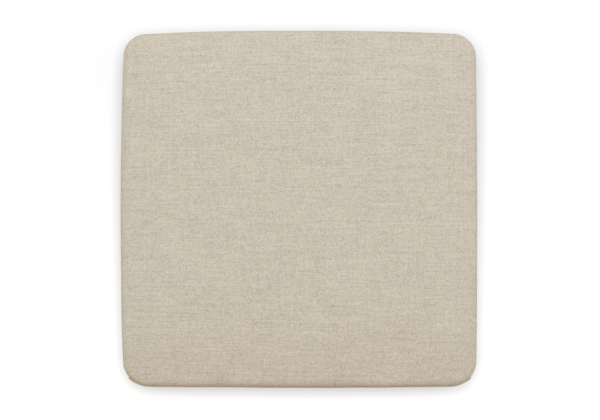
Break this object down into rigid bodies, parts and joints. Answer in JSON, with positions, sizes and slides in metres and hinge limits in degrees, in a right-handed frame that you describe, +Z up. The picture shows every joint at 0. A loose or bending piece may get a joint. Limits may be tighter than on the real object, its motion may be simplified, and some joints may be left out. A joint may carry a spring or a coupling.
{
  "type": "chair seat pad",
  "caption": "Square upholstered drop-in seat pad with a domed linen-look top, wrapped over foam on a webbed wooden rail frame, with tee nuts underneath.",
  "frame": {"origin": "middle of the underside, on the plane that the pad rests on", "axes": "+Z up through the pad, +X to the sitter's left as seen from the front, -Y towards the front of the chair"},
  "size_m": [0.45, 0.45, 0.06],
  "materials": {
    "linen_cover": "matte",
    "dust_cover": "matte",
    "calico": "matte",
    "wadding": "matte",
    "foam": "matte",
    "hessian": "matte",
    "webbing": "matte",
    "beech": "satin",
    "zinc_steel": "satin",
    "staple_wire": "satin"
  },
  "bodies": {
    "root": {"front_rail": "beech", "back_rail": "beech", "left_rail": "beech", "right_rail": "beech", "frame_dowels": "beech", "tee_nuts": "zinc_steel", "webbing_lengthwise_left": "webbing", "webbing_lengthwise_middle": "webbing", "webbing_lengthwise_right": "webbing", "webbing_crosswise_front": "webbing", "webbing_crosswise_middle": "webbing", "webbing_crosswise_back": "webbing", "webbing_staples": "staple_wire", "hessian_panel": "hessian", "hessian_staples": "staple_wire", "seat_foam": "foam", "wadding_wrap": "wadding", "calico_liner": "calico", "liner_staples": "staple_wire", "seat_cover": "linen_cover", "cover_staples": "staple_wire", "dust_cover": "dust_cover", "dust_cover_staples": "staple_wire"}
  },
  "joints": []
}
